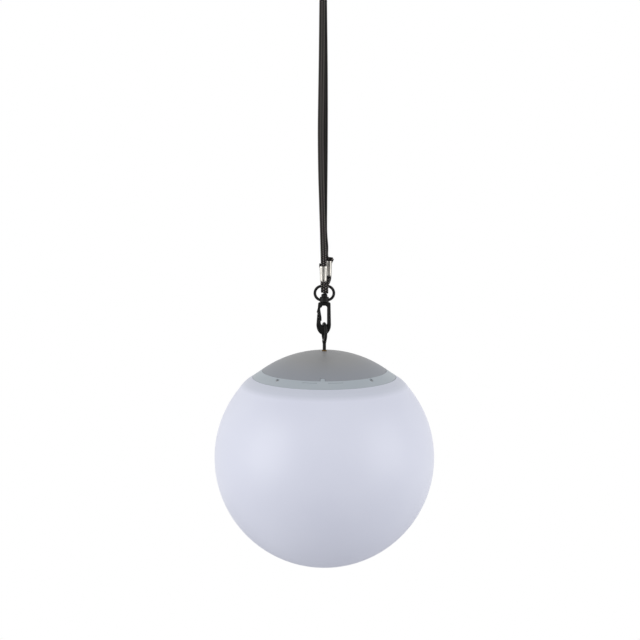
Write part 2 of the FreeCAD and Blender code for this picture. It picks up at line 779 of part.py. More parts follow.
def lid_slots():
    """The two fine drain slots beside the key, in the ring's upper face."""
    span = math.degrees(slot_length / slot_radius)
    start = math.degrees((slot_from_key + key_width / 2) / slot_radius)
    low = ring_surface(slot_radius) - slot_deep
    face = polygon([
        at(slot_radius - slot_width / 2, 0, low),
        at(slot_radius + slot_width / 2, 0, low),
        at(slot_radius + slot_width / 2, 0, low + 3 * slot_deep),
        at(slot_radius - slot_width / 2, 0, low + 3 * slot_deep),
    ])
    slot = face.revolve(at(0, 0, 0), Z_AXIS, span)
    key_place = -90 - key_azimuth
    return [turned(slot, key_place + start), turned(slot, key_place - start - span)]


# ---- screws of the lid ----

def screw_places(shape):
    """A shape at the front, copied to the ring's screws, half a step off the front."""
    return around(shape, screw_count, 180.0 / screw_count)


def screw_seat():
    low = ring_surface(screw_circle) - screw_head_height - face_gap
    return rod(screw_head / 2 + slip_gap, at(0, -screw_circle, low), at(0, -screw_circle, apex))


def make_lid_screws():
    low = ring_surface(screw_circle) - screw_head_height - face_gap
    head = rod(screw_head / 2, at(0, -screw_circle, low), at(0, -screw_circle, low + screw_head_height))
    half = screw_slot / 2
    cross = box(at(-screw_head / 3, -half, low + screw_head_height / 2), at(screw_head / 3, half, apex))
    cross = moved(cross.fuse(turned(cross, 90)), 0, -screw_circle, 0)
    shank = rod(screw_shank / 2, at(0, -screw_circle, low - screw_length), at(0, -screw_circle, low))
    return screw_places(head.cut(cross).fuse(shank))


# ---- solar panel and tray ----

def make_tray():
    """The plate under the lid ring: it holds the panel from below and takes the ring's screws."""
    tray = rod(tray_radius, at(0, 0, tray_foot), at(0, 0, web_foot))
    screw = at(0, -screw_circle, 0)
    boss_low = tray_foot - screw_boss_depth
    boss = rod(screw_boss / 2, screw + at(0, 0, boss_low), screw + at(0, 0, tray_foot))
    for post in screw_places(boss):
        tray = tray.fuse(post)
    hole_low = web_foot - screw_length
    hole = rod(screw_shank / 2, screw + at(0, 0, hole_low), screw + at(0, 0, web_foot + 1))
    for bore in screw_places(hole):
        tray = tray.cut(bore)
    screw = at(0, -housing_screw_circle / 2, 0)
    low_hole = rod(screw_shank / 2, screw + at(0, 0, tray_foot - 1), screw + at(0, 0, web_foot - face_gap))
    for bore in around(low_hole, housing_screw_count):
        tray = tray.cut(bore)
    wire_y = housing_screw_circle / 4
    wires = rod(wire_hole / 2, at(0, wire_y, tray_foot - 1), at(0, wire_y, apex))
    return tray.cut(wires)


def make_panel():
    return rod(panel_diameter / 2, at(0, 0, web_foot), at(0, 0, web_foot + panel_thick))


def make_cells():
    low = web_foot + panel_thick
    pitch = cell_size + cell_space
    start = -pitch * cell_count / 2 + cell_space / 2
    cells = []
    for i in range(cell_count):
        for j in range(cell_count):
            x, y = start + i * pitch, start + j * pitch
            cells.append(box(at(x, y, low), at(x + cell_size, y + cell_size, low + cell_thick)))
    return cells


# ---- light housing ----

def bay_box(grow, low, high):
    length, width = bay_length / 2 + grow, bay_width / 2 + grow
    return box(at(-length, -width, low), at(length, width, high))


def make_housing():
    """The cup under the tray: a flange, a battery bay open below, hinge lugs and a hole for the button."""
    outer = housing_diameter / 2
    cup = rod(outer, at(0, 0, housing_foot), at(0, 0, tray_foot))
    cup = cup.cut(rod(outer - housing_wall, at(0, 0, housing_floor), at(0, 0, tray_foot + 1)))
    flange = tube(housing_flange / 2, outer - housing_wall, tray_foot - housing_wall, tray_foot)
    cup = cup.fuse(flange)
    screw = at(0, -housing_screw_circle / 2, 0)
    hole = rod(screw_shank / 2, screw + at(0, 0, housing_foot), screw + at(0, 0, tray_foot + 1))
    for bore in around(hole, housing_screw_count):
        cup = cup.cut(bore)
    cup = cup.fuse(bay_box(bay_wall, housing_floor - housing_wall / 2, bay_top + bay_wall))
    cup = cup.cut(bay_box(0, housing_foot - 1, bay_top))
    button = at(0, button_at, 0)
    hole_radius = button_diameter / 2 + face_gap
    cup = cup.cut(rod(hole_radius, button + at(0, 0, housing_foot - 1), button + at(0, 0, housing_floor + 1)))
    for place in post_places():
        low = housing_floor - housing_wall / 2
        post = rod(post_diameter / 2, place + at(0, 0, low), place + at(0, 0, board_foot))
        cup = cup.fuse(post)
    return cup.fuse(hinge_lugs()).removeSplitter()


def post_places():
    x = main_board[0] / 2 - post_diameter / 2
    return [at(side * x, board_y, 0) for side in (-1, 1)]


def hinge_lugs():
    """The two lugs under the floor, at the ends of the door, that its stubs turn in."""
    radius = hinge_stub / 2 + hinge_lug / 2
    lugs = []
    for side in (-1, 1):
        inner = side * (door_half_length - hinge_lug)
        outer = side * door_half_length
        low_x, high_x = sorted((inner, outer))
        lug = rod(radius, at(low_x, hinge_y, hinge_z), at(high_x, hinge_y, hinge_z))
        top = housing_foot + housing_wall / 2
        lug = lug.fuse(box(at(low_x, hinge_y - radius, hinge_z), at(high_x, hinge_y + radius, top)))
        bore = hinge_stub / 2 + pin_gap
        lug = lug.cut(rod(bore, at(low_x - 1, hinge_y, hinge_z), at(high_x + 1, hinge_y, hinge_z)))
        lugs.append(lug)
    return lugs


def make_door():
    """The battery door: a knuckle along one side with stubs into the lugs, and a grip along the other."""
    radius = hinge_stub / 2 + hinge_lug / 2
    half_knuckle = door_half_length - hinge_lug - face_gap
    low, high = hinge_z - door_thick / 2, hinge_z + door_thick / 2
    near = -bay_width / 2 - door_lap
    plate = box(at(-door_half_length, near, low), at(door_half_length, hinge_y - radius - face_gap, high))
    bridge = box(at(-half_knuckle, near, low), at(half_knuckle, hinge_y, high))
    stub_end = door_half_length - face_gap
    stub = rod(hinge_stub / 2, at(-stub_end, hinge_y, hinge_z), at(stub_end, hinge_y, hinge_z))
    grip = box(at(-button_diameter, near - door_thick, low), at(button_diameter, near, high))
    return plate.fuse([bridge, stub, grip]).removeSplitter()


def make_housing_screws():
    screw = at(0, -housing_screw_circle / 2, 0)
    low = tray_foot - housing_wall
    head = rod(housing_screw_head / 2, screw + at(0, 0, low - screw_head_height), screw + at(0, 0, low))
    shank = rod(screw_shank / 2, screw + at(0, 0, low), screw + at(0, 0, web_foot - face_gap))
    return around(head.fuse(shank), housing_screw_count)


def make_main_board():
    half = (main_board[0] / 2, main_board[1] / 2)
    low = at(-half[0], board_y - half[1], board_foot)
    return box(low, at(half[0], board_y + half[1], board_foot + board_thick))


def make_switch():
    half = switch_size / 2
    low = at(-half, button_at - half, board_foot - switch_height)
    return box(low, at(half, button_at + half, board_foot))


def make_button():
    """The push button: a rounded cap through the floor, and a rim above the floor that keeps it in."""
    cap_foot = housing_foot - button_show
    top = board_foot - switch_height - button_travel - face_gap
    cap = rod(button_diameter / 2, at(0, button_at, cap_foot), at(0, button_at, top))
    edge = [e for e in cap.Edges if e.Closed and abs(e.BoundBox.ZMax - cap_foot) < 0.01]
    cap = cap.makeFillet(button_rim, edge)
    low = housing_floor + face_gap
    rim_radius = button_diameter / 2 + button_rim + face_gap
    rim = rod(rim_radius, at(0, button_at, low), at(0, button_at, low + button_rim))
    return cap.fuse(rim).removeSplitter()


def make_light_board():
    return tube(light_board_outer / 2, light_board_inner / 2, housing_foot - board_thick, housing_foot)


def make_lights():
    high = housing_foot - board_thick
    reach = (light_board_outer + light_board_inner) / 4
    half = light_size / 2
    light = box(at(-half, -reach - half, high - light_height), at(half, -reach + half, high))
    return around(light, light_count, 180.0 / light_count)


def make_light_cover():
    """The frosted ring-shaped cover over the lights."""
    outer, inner = housing_diameter / 2, light_board_inner / 2 - slip_gap - cover_wall
    low = housing_foot - cover_depth
    cover = tube(outer, inner, low, housing_foot)
    rims = [e for e in cover.Edges if e.Closed and abs(e.BoundBox.ZMax - low) < 0.01]
    cover = cover.makeFillet(cover_wall, rims)
    hollow = tube(outer - cover_wall, inner + cover_wall, low + cover_wall, housing_foot + 1)
    return cover.cut(hollow)


# ---- battery and its contacts ----

def make_battery():
    """A round cell on its side, with its raised end to the right."""
    left = -bay_length / 2 + contact_space - face_gap
    end = left + battery_length
    can = rod(battery_diameter / 2, at(left, 0, battery_z), at(end - button_end, 0, battery_z))
    rims = [e for e in can.Edges if e.Closed]
    can = can.makeFillet(button_end / 2, rims)
    nub = rod(battery_diameter / 5, at(end - 2 * button_end, 0, battery_z), at(end, 0, battery_z))
    return can.fuse(nub)


def make_contact_plate():
    right = bay_length / 2
    half = bay_width / 2 - bay_clear
    return box(at(right - face_gap * 2, -half, battery_z - half), at(right, half, battery_z + half))


def make_contact_spring():
    """The cone spring at the flat end of the cell, as a plain cone of its outer shape."""
    left = -bay_length / 2
    long = contact_space - 2 * face_gap
    wide, narrow = battery_diameter / 3, battery_diameter / 6
    wire = bay_wall / 2
    place = at(left, 0, battery_z)
    cone = Part.makeCone(wide, narrow, long, place, X_AXIS)
    core = Part.makeCone(wide - wire, narrow - wire, long, place, X_AXIS)
    return cone.cut(core)


# ---- globe ----

def make_neck_gasket():
    return tube(lid_rim - face_gap, skirt_outer + face_gap / 2, flange_foot - gasket_thick, flange_foot)


def make_globe():
    """The blown white globe: a thin sphere with a rolled lip, a ledge for the lid and the neck's wall."""
    inner_radius = globe_radius - globe_wall
    neck_outer = neck_inner + neck_wall
    neck_foot = ledge - neck_depth
    collar = mouth + neck_wall
    collar_foot = ledge - neck_wall
    mouth_top = centre + math.sqrt(lid_radius**2 - mouth**2)
    join = on_sphere(globe_radius, lip_start).z
    inner_break = angle_at(inner_radius, collar)
    inner_join = math.degrees(math.acos((join - centre) / inner_radius))
    crease = on_sphere(globe_radius, lip_break)
    edges = [
        line(at(mouth, 0, mouth_top), crease),
        Part.Arc(crease, on_sphere(lip_radius, lip_angle), on_sphere(globe_radius, lip_start)).toShape(),
        line(on_sphere(globe_radius, lip_start), on_sphere(inner_radius, inner_join)),
        arc_of_sphere(inner_radius, inner_join, inner_break),
        line(on_sphere(inner_radius, inner_break), at(collar, 0, collar_foot)),
        line(at(collar, 0, collar_foot), at(neck_outer, 0, collar_foot)),
        line(at(neck_outer, 0, collar_foot), at(neck_outer, 0, neck_foot)),
        line(at(neck_outer, 0, neck_foot), at(neck_inner, 0, neck_foot)),
        line(at(neck_inner, 0, neck_foot), at(neck_inner, 0, ledge)),
        line(at(neck_inner, 0, ledge), at(mouth, 0, ledge)),
        line(at(mouth, 0, ledge), at(mouth, 0, mouth_top)),
    ]
    middle = at(0, 0, centre)
    shell = Part.makeSphere(globe_radius, middle).cut(Part.makeSphere(inner_radius, middle))
    reach = 2 * globe_radius
    shell = shell.cut(box(at(-reach, -reach, join), at(reach, reach, join + reach)))
    return shell.fuse(revolved(edges)).removeSplitter()


# ---- write the nodes ----

save("strap", make_strap())
save("strap_eye_front", make_front_eye(), make_tail(front_crimp_at, front_crimp_rise, 0))
save("strap_eye_rear", make_rear_eye(), make_tail(rear_crimp_at, rear_crimp_rise, rear_crimp_turn))
save("crimp_front", make_crimp(front_crimp_at, front_crimp_rise, 0))
save("crimp_rear", make_crimp(rear_crimp_at, rear_crimp_rise, rear_crimp_turn))
save("swivel_ring", make_swivel_ring())
save("hook_body", make_hook_body())
save("hook_gate", make_gate())
save("gate_pin", make_gate_pin())
save("gate_spring", make_gate_spring())
save("eye_bolt", make_eye_bolt())
save("eye_ferrule", make_ferrule())
save("eye_washer", make_eye_washer())
save("eye_nut", make_eye_nut())
save("solar_dome", make_dome())
save("dome_gasket", make_dome_gasket())
save("lid_ring", make_lid_ring())
save("lid_screws", *make_lid_screws())
save("panel_tray", make_tray())
save("solar_panel", make_panel())
save("solar_cells", *make_cells())
save("light_housing", make_housing())
save("housing_screws", *make_housing_screws())
save("control_board", make_main_board())
save("switch_body", make_switch())
save("power_button", make_button())
save("led_board", make_light_board())
save("leds", *make_lights())
save("led_cover", make_light_cover())
save("battery_cell", make_battery())
save("contact_plate", make_contact_plate())
save("contact_spring", make_contact_spring())
save("battery_door", make_door())
save("neck_gasket", make_neck_gasket())
save("globe_diffuser", make_globe())
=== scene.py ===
"""Looks of a garden globe light that hangs by a snap hook from a doubled flat strap.

Metres, +Z up, front towards -Y. The origin is the inside top of the strap's fold, as in the solid model.
"""

import math
import random

import bpy
from mathutils import Matrix, Vector


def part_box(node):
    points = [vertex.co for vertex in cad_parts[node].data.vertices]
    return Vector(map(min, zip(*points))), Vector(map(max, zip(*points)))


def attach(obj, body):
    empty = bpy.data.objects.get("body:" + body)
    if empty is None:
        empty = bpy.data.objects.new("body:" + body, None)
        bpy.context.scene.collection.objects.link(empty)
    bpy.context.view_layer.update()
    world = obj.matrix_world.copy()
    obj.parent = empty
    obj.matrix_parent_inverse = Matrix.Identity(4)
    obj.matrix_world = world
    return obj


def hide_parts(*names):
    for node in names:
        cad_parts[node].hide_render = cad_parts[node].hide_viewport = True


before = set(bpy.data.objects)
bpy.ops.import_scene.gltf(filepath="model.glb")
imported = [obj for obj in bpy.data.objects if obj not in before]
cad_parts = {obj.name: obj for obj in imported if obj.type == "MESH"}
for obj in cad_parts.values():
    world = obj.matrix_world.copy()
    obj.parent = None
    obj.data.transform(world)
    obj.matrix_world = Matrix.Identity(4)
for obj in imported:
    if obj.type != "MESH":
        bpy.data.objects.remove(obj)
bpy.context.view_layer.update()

# ---- Studio -------------------------------------------------------------------------------------
# A pale round floor far below the light, and a large soft lamp on each side. The camera sees white all
# round, also mirrored in metal and through clear plastic, but the light from there is dimmer and bluer.

globe_centre = Vector((0.0, 0.0, -0.432))


def colour(code):
    """The linear colour of an sRGB hex value."""
    parts = [int(code[i:i + 2], 16) / 255 for i in (1, 3, 5)]
    return tuple(c / 12.92 if c <= 0.04045 else ((c + 0.055) / 1.055) ** 2.4 for c in parts) + (1.0,)


def add(tree, kind, links=None, **settings):
    """Adds a shader node: settings are its own, links give its sockets a value or another node's output."""
    made = tree.nodes.new(kind)
    for name, value in settings.items():
        setattr(made, name, value)
    for name, value in (links or {}).items():
        if isinstance(value, bpy.types.NodeSocket):
            tree.links.new(value, made.inputs[name])
        else:
            made.inputs[name].default_value = value
    return made


def material(name, code, roughness, metallic=0.0, **constants):
    """A new material, its node tree and its shader, with the constants on the shader's own sockets."""
    made = bpy.data.materials.new(name)
    made.use_nodes = True
    shader = made.node_tree.nodes["Principled BSDF"]
    shader.inputs["Base Color"].default_value = colour(code)
    shader.inputs["Roughness"].default_value = roughness
    shader.inputs["Metallic"].default_value = metallic
    for socket, value in constants.items():
        shader.inputs[socket.replace("_", " ")].default_value = value
    return made, made.node_tree, shader


world = bpy.data.worlds.new("white_studio")
bpy.context.scene.world = world
world.use_nodes = True
tree = world.node_tree
tree.nodes.clear()
seen = add(tree, "ShaderNodeLightPath")
mirrored_or_clear = add(tree, "ShaderNodeMath", {0: seen.outputs["Is Glossy Ray"],
                                                 1: seen.outputs["Is Transmission Ray"]}, operation="MAXIMUM")
camera_too = add(tree, "ShaderNodeMath", {0: seen.outputs["Is Camera Ray"], 1: mirrored_or_clear.outputs[0]},
                 operation="MAXIMUM")
fill_strength = 0.54  # of the light from all round, where what the camera sees has 1
fill = add(tree, "ShaderNodeBackground", {"Color": colour("#F4F6FF"), "Strength": fill_strength})
white = add(tree, "ShaderNodeBackground", {"Color": (1.0, 1.0, 1.0, 1.0), "Strength": 1.0})
both = add(tree, "ShaderNodeMixShader", {0: camera_too.outputs[0], 1: fill.outputs[0], 2: white.outputs[0]})
add(tree, "ShaderNodeOutputWorld", {"Surface": both.outputs[0]})

lamps = {  # azimuth from the front, height over the globe's centre, distance, size, watts
    "lamp_left": (-60.0, 0.35, 1.5, 1.2, 11.5),
    "lamp_right": (66.0, 0.35, 1.5, 1.2, 10.0),
}
for name, (azimuth, height, reach, size, watts) in lamps.items():
    lamp_data = bpy.data.lights.new(name, "AREA")
    lamp_data.shape = "SQUARE"
    lamp_data.size = size
    lamp_data.energy = watts
    lamp = bpy.data.objects.new(name, lamp_data)
    turn = math.radians(azimuth)
    lamp.location = globe_centre + Vector((reach * math.sin(turn), -reach * math.cos(turn), height))
    lamp.rotation_euler = (globe_centre - lamp.location).to_track_quat("-Z", "Y").to_euler()
    bpy.context.scene.collection.objects.link(lamp)

floor_radius = 3.4
floor_height = -2.0
bpy.ops.object.select_all(action="DESELECT")
bpy.ops.mesh.primitive_circle_add(vertices=96, radius=floor_radius, fill_type="NGON",
                                  location=(0, 0, floor_height))
floor = bpy.context.object
floor.name = "floor"
floor_paint, tree, shader = material("painted_board", "#F2F2F3", 0.7)  # matt off-white paint on board
floor.data.materials.append(floor_paint)

camera_down = 8.42  # degrees below level
camera_data = bpy.data.cameras.new("camera")
camera_data.sensor_width = 36.0
camera_data.lens = 110.77
camera_data.clip_start = 0.01
camera = bpy.data.objects.new("camera", camera_data)
camera.location = (-0.00393, -1.7580, -0.0452)
camera.rotation_euler = (math.radians(90 - camera_down), 0.0, 0.0)
bpy.context.scene.collection.objects.link(camera)
bpy.context.scene.camera = camera
bpy.context.scene.view_settings.view_transform = "Standard"

# ---- Strap --------------------------------------------------------------------------------------
# A flat tubular braid of dark grey polypropylene yarn, folded over the hang point. Both ends come down
# side by side; the rear one turns edge-on before it goes into its crimp.

strap_wide = 0.0055
strap_thick = 0.0018
strap_crown = 0.06  # share by which the flat faces swell in the middle
strap_relief = 0.00013  # how far a yarn stands up where it lies on top
yarn_sink = 0.7  # share of that relief that a yarn loses on its way under another
yarn_count = 6  # in each direction; the real yarns are a little finer, but would not show
yarn_pitch = 0.0021  # along the strap, from one crossing to the next
yarn_points = 6  # points for each crossing, along the strap and around it
strap_route = [  # control points from the front crimp up, over the fold and down to the rear crimp
    (-0.00055, -0.0021625, -0.2564),
    (-0.00125, -0.0028, -0.2270),
    (-0.0037, -0.0037, -0.1500),
    (-0.00255, -0.0044, -0.0820),
    (-0.0020, -0.0048, -0.0330),
    (-0.0016, -0.0049, 0.0009),
    (-0.0006, 0.0049, 0.0009),
    (-0.0002, 0.0048, -0.0330),
    (0.00045, 0.0045, -0.0870),
    (0.0005, 0.0041, -0.1470),
    (-0.0001, 0.0037, -0.2070),
    (-0.00015, 0.0036, -0.2360),
    (0.0034375, 0.0035, -0.2520),
]


def spaced(points, step):
    """The line through the points, cut into equal steps."""
    total = sum((b - a).length for a, b in zip(points, points[1:]))
    count = max(2, round(total / step))
    cut, carried, i = [points[0].copy()], 0.0, 0
    for n in range(1, count):
        target = total * n / count
        while carried + (points[i + 1] - points[i]).length < target:
            carried += (points[i + 1] - points[i]).length
            i += 1
        run = points[i + 1] - points[i]
        cut.append(points[i] + run * ((target - carried) / run.length))
    cut.append(points[-1].copy())
    return cut


def flat_braid(name, points, across, half_wide, half_thick, ruffle=0.0):
    """A flat tubular braid along evenly cut points. Its faces lie along the yarns, and the UV map "yarns" has
    one unit across the yarn on top and one unit along it for each crossing."""
    steps = yarn_points * yarn_count
    vertices, faces, corners = [], [], []
    shake = random.Random(7)
    rows = len(points)
    for j, point in enumerate(points):
        along = (points[min(j + 1, rows - 1)] - points[max(j - 1, 0)]).normalized()
        wide = (across[j] - along * across[j].dot(along)).normalized()
        thick = along.cross(wide)
        flat = half_wide[j] - half_thick[j]
        side, end = 2 * flat, math.pi * half_thick[j]
        around = 4 * flat + 2 * math.pi * half_thick[j]
        for k in range(j % 2, steps, 2):
            a, b = (k + j) / yarn_points, (k - j) / yarn_points
            # Each yarn goes over two others and then under two.
            upper, lower = (a, b) if (math.floor(a) + math.floor(b)) % 4 < 2 else (b, a)
            dive = abs((lower + math.floor(upper)) % 2 - 1)
            off_middle = 2 * abs(upper - math.floor(upper) - 0.5)
            lift = (1 - off_middle ** 2) * (1 - yarn_sink * dive ** 2)
            run = around * k / steps
            if run < side:
                x, y, out_x, out_y = -flat + run, -half_thick[j], 0.0, -1.0
            elif run < side + end:
                turn = (run - side) / half_thick[j]
                out_x, out_y = math.sin(turn), -math.cos(turn)
                x, y = flat + half_thick[j] * out_x, half_thick[j] * out_y
            elif run < 2 * side + end:
                x, y, out_x, out_y = flat - (run - side - end), half_thick[j], 0.0, 1.0
            else:
                turn = (run - 2 * side - end) / half_thick[j]
                out_x, out_y = -math.sin(turn), math.cos(turn)
                x, y = -flat + half_thick[j] * out_x, half_thick[j] * out_y
            crown = 1 + strap_crown * (1 - (x / half_wide[j]) ** 2)
            grown = strap_relief * (lift - 1) + ruffle * shake.uniform(-1, 1) * (j / rows) ** 2
            x, y = x + out_x * grown, y * crown + out_y * grown
            frayed = along * ruffle * shake.uniform(-1, 1) * (j / rows) ** 2
            vertices.append(point + wide * x + thick * y + frayed)

    def index(j, k):
        return j * (steps // 2) + (k % steps) // 2

    for j in range(rows - 2):
        for k in range(j % 2, steps, 2):
            spots = [(j, k), (j + 1, k + 1), (j + 2, k), (j + 1, k - 1)]
            faces.append([index(*spot) for spot in spots])
            middle_a, middle_b = (k + j + 1) / yarn_points, (k - j - 1) / yarn_points
            on_top = (math.floor(middle_a) + math.floor(middle_b)) % 4 < 2
            for row, column in spots:
                a, b = (column + row) / yarn_points, (column - row) / yarn_points
                corners.append((a, b) if on_top else (b, a))
    for last, inner in ((0, 1), (rows - 1, rows - 2)):
        middle = len(vertices)
        vertices.append(points[last].copy())
        for k in range(last % 2, steps, 2):
            for first, second in (((inner, k - 1), (last, k)), ((last, k), (inner, k + 1))):
                faces.append([middle, index(*first), index(*second)])
                corners += [(0.5, 0.5)] * 3
    mesh = bpy.data.meshes.new(name)
    mesh.from_pydata(vertices, [], faces)
    uv = mesh.uv_layers.new(name="yarns")
    for loop, corner in zip(uv.data, corners):
        loop.uv = corner
    made = bpy.data.objects.new(name, mesh)
    bpy.context.scene.collection.objects.link(made)
    bpy.ops.object.select_all(action="DESELECT")
    bpy.context.view_layer.objects.active = made
    made.select_set(True)
    bpy.ops.object.mode_set(mode="EDIT")
    bpy.ops.mesh.select_all(action="SELECT")
    bpy.ops.mesh.normals_make_consistent(inside=False)
    bpy.ops.object.mode_set(mode="OBJECT")
    bpy.ops.object.shade_smooth()
    return made


# Polypropylene yarn: waxy fibres in bundles, with a painted highlight along them and painted shade where they
# dive.
# Where something lies close, as between the two strands, the shader paints shade into the yarn's colour.
yarn_fibres = 5  # ridges across a yarn
yarn_grey = "#494440"
strand_shade = 0.018  # how far off something still darkens the yarn
braid_material, tree, shader = material("braided_polypropylene_yarn", yarn_grey, 0.7, Specular_IOR_Level=0.12,
                                        Sheen_Weight=0.03, Sheen_Roughness=0.5)
yarn_map = add(tree, "ShaderNodeUVMap", uv_map="yarns")
split = add(tree, "ShaderNodeSeparateXYZ", {0: yarn_map.outputs[0]})
across_yarn = add(tree, "ShaderNodeMath", {0: split.outputs[0]}, operation="FRACT")
from_middle = add(tree, "ShaderNodeMath", {0: across_yarn.outputs[0], 1: 2.0, 2: -1.0},
                  operation="MULTIPLY_ADD")
yarn = add(tree, "ShaderNodeMath", {0: split.outputs[0]}, operation="FLOOR")
along_yarn = add(tree, "ShaderNodeMath", {0: split.outputs[1], 1: yarn.outputs[0]}, operation="ADD")
stretch = add(tree, "ShaderNodeMath", {0: along_yarn.outputs[0], 1: 2.0}, operation="FLOORED_MODULO")
from_crown = add(tree, "ShaderNodeMath", {0: stretch.outputs[0], 1: 1.0}, operation="SUBTRACT")
crown_place = add(tree, "ShaderNodeCombineXYZ", {0: from_middle.outputs[0], 1: from_crown.outputs[0]})
from_top = add(tree, "ShaderNodeVectorMath", {0: crown_place.outputs[0]}, operation="LENGTH")
# painted highlight and shade: light grey on a yarn's crown, near black where it dives under another
painted_yarn_light_and_shade = add(tree, "ShaderNodeValToRGB", {0: from_top.outputs["Value"]})
painted_yarn_light_and_shade.color_ramp.elements.new(0.6)
for stop, (position, code) in zip(painted_yarn_light_and_shade.color_ramp.elements,
                                  ((0.2, "#9E968F"), (0.55, yarn_grey), (0.85, "#040303"))):
    stop.position = position
    stop.color = colour(code)
here = add(tree, "ShaderNodeTexCoord")
speckle = add(tree, "ShaderNodeTexNoise", {"Vector": here.outputs["Object"], "Scale": 900.0, "Detail": 3.0})
tint = add(tree, "ShaderNodeMix", {0: 0.35, 6: painted_yarn_light_and_shade.outputs[0], 7: speckle.outputs["Color"]},
           data_type="RGBA", blend_type="MULTIPLY")
# painted shade: ambient occlusion darkens the yarn's colour where something lies close
open_to_light = add(tree, "ShaderNodeAmbientOcclusion", {"Distance": strand_shade}, samples=8)
shaded = add(tree, "ShaderNodeMath", {0: open_to_light.outputs["AO"], 1: 3.6}, operation="POWER")
painted_gap_shade = add(tree, "ShaderNodeMix", {0: 1.0, 6: tint.outputs[2], 7: shaded.outputs[0]},
                data_type="RGBA", blend_type="MULTIPLY")
tree.links.new(painted_gap_shade.outputs[2], shader.inputs["Base Color"])
fibres = add(tree, "ShaderNodeMath", {0: split.outputs[0], 1: 2 * math.pi * yarn_fibres},
             operation="MULTIPLY")
fibre_wave = add(tree, "ShaderNodeMath", {0: fibres.outputs[0]}, operation="SINE")
fibre_height = add(tree, "ShaderNodeMath", {0: fibre_wave.outputs[0], 1: 0.5, 2: 0.5},
                   operation="MULTIPLY_ADD")
fibre_bump = add(tree, "ShaderNodeBump", {"Strength": 0.35, "Distance": 0.00006,
                                          "Height": fibre_height.outputs[0]})
tree.links.new(fibre_bump.outputs[0], shader.inputs["Normal"])

bpy.ops.object.select_all(action="DESELECT")
route_curve = bpy.data.curves.new("strap_route", "CURVE")
route_curve.dimensions = "3D"
route_curve.resolution_u = 40
spline = route_curve.splines.new("NURBS")
spline.points.add(len(strap_route) - 1)
for control, spot in zip(spline.points, strap_route):
    control.co = (*spot, 1.0)
spline.order_u = 3
spline.use_endpoint_u = True
route_object = bpy.data.objects.new("strap_route", route_curve)
bpy.context.scene.collection.objects.link(route_object)
bpy.context.view_layer.update()
route_line = bpy.data.meshes.new_from_object(route_object)
strap_line = spaced([v.co.copy() for v in route_line.vertices], yarn_pitch / yarn_points)
bpy.data.objects.remove(route_object)
bpy.data.meshes.remove(route_line)

edge_on_from = -0.234  # the rear end starts to turn edge-on at this height
edge_on_run = 0.017  # and has turned this far below
edge_on_slimmer = 0.0004  # what half its width loses by then
strap_across, strap_half_wide = [], []
for n, point in enumerate(strap_line):
    rear = n > len(strap_line) / 2
    turned = min(1.0, max(0.0, (edge_on_from - point.z) / edge_on_run)) if rear else 0.0
    turned = turned * turned * (3 - 2 * turned)
    angle = math.radians(90) * turned
    strap_across.append(Vector((math.cos(angle), math.sin(angle), 0.0)))
    strap_half_wide.append(strap_wide / 2 - edge_on_slimmer * turned)
strap_half_thick = [strap_thick / 2] * len(strap_line)
strap = flat_braid("strap_braid", strap_line, strap_across, strap_half_wide, strap_half_thick)
strap.data.materials.append(braid_material)
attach(strap, "strap")
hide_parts("strap")

# ---- Strap's eyes round the ring ----------------------------------------------------------------
# Each end of the same braid goes round the top of the swivel ring and back up into its crimp. The rear
# end passes under the front one, so that its edge shows beside it.

ring_bar = -0.27455  # height of the ring's top bar
ring_wire = 0.0025
front_crimp_at = (-0.0009, -0.0012, -0.2705)  # the middle of its foot
rear_crimp_at = (0.0044, 0.0035, -0.2661)
eye_inside = 0.0008  # how far an eye's ends reach up into its crimp


def eye_line(inner, x, crimp_at, beside, slack):
    """From the crimp's foot down in front of the bar, under it with some slack, and up behind it again."""
    leg_points = 13
    turn_points = 20
    ends = []
    for side in (-1, 1):
        top = Vector((crimp_at[0] + side * beside[0], crimp_at[1] + side * beside[1],
                      crimp_at[2] + eye_inside))
        low = Vector((x, side * inner, ring_bar - slack))
        leg = []
        for n in range(leg_points):
            t = n / leg_points
            ease = t * t * (3 - 2 * t)
            leg.append(top + Vector(((low.x - top.x) * ease, (low.y - top.y) * ease, (low.z - top.z) * t)))
        ends.append(leg)
    turn = []
    for n in range(turn_points + 1):
        angle = math.pi * n / turn_points
        turn.append(Vector((x, -inner * math.cos(angle), ring_bar - slack - inner * math.sin(angle))))
    return spaced(ends[0] + turn + ends[1][::-1], yarn_pitch / yarn_points)


front_eye_half = 0.0032  # half widths at the bottom of each eye, and what they lose by the crimp
front_eye_pinch = 0.0011
rear_eye_half = 0.0025
rear_eye_pinch = 0.0002

# The front eye keeps its width until just under its crimp.
front_eye_line = eye_line(inner=ring_wire / 2 + 0.0010, x=0.0, crimp_at=front_crimp_at,
                          beside=(0.0, 0.00095), slack=0.0030)
count = len(front_eye_line)
narrow = [abs(2 * n / count - 1) ** 5 for n in range(count)]
front_eye = flat_braid("eye_braid_front", front_eye_line, [Vector((1, 0, 0))] * count,
                       [front_eye_half - front_eye_pinch * s for s in narrow], [strap_thick / 2] * count)
front_eye.data.materials.append(braid_material)

# The rear eye lies outside the front one, and turns edge-on over the last part of each leg.
rear_eye_line = eye_line(inner=ring_wire / 2 + strap_thick + 0.0011, x=0.0012, crimp_at=rear_crimp_at,
                         beside=(0.00095, 0.0), slack=0.0018)
count = len(rear_eye_line)
rear_across, rear_half = [], []
for n in range(count):
    s = abs(2 * n / count - 1)
    rear_across.append(Vector((1, 0, 0)).lerp(Vector((0, 1, 0)), max(0.0, 2.4 * s - 1.4)))
    rear_half.append(rear_eye_half - rear_eye_pinch * s)
rear_eye = flat_braid("eye_braid_rear", rear_eye_line, rear_across, rear_half, [strap_thick / 2] * count)
rear_eye.data.materials.append(braid_material)
for eye, stands_for in ((front_eye, "strap_eye_front"), (rear_eye, "strap_eye_rear")):
    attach(eye, "strap")
    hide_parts(stands_for)
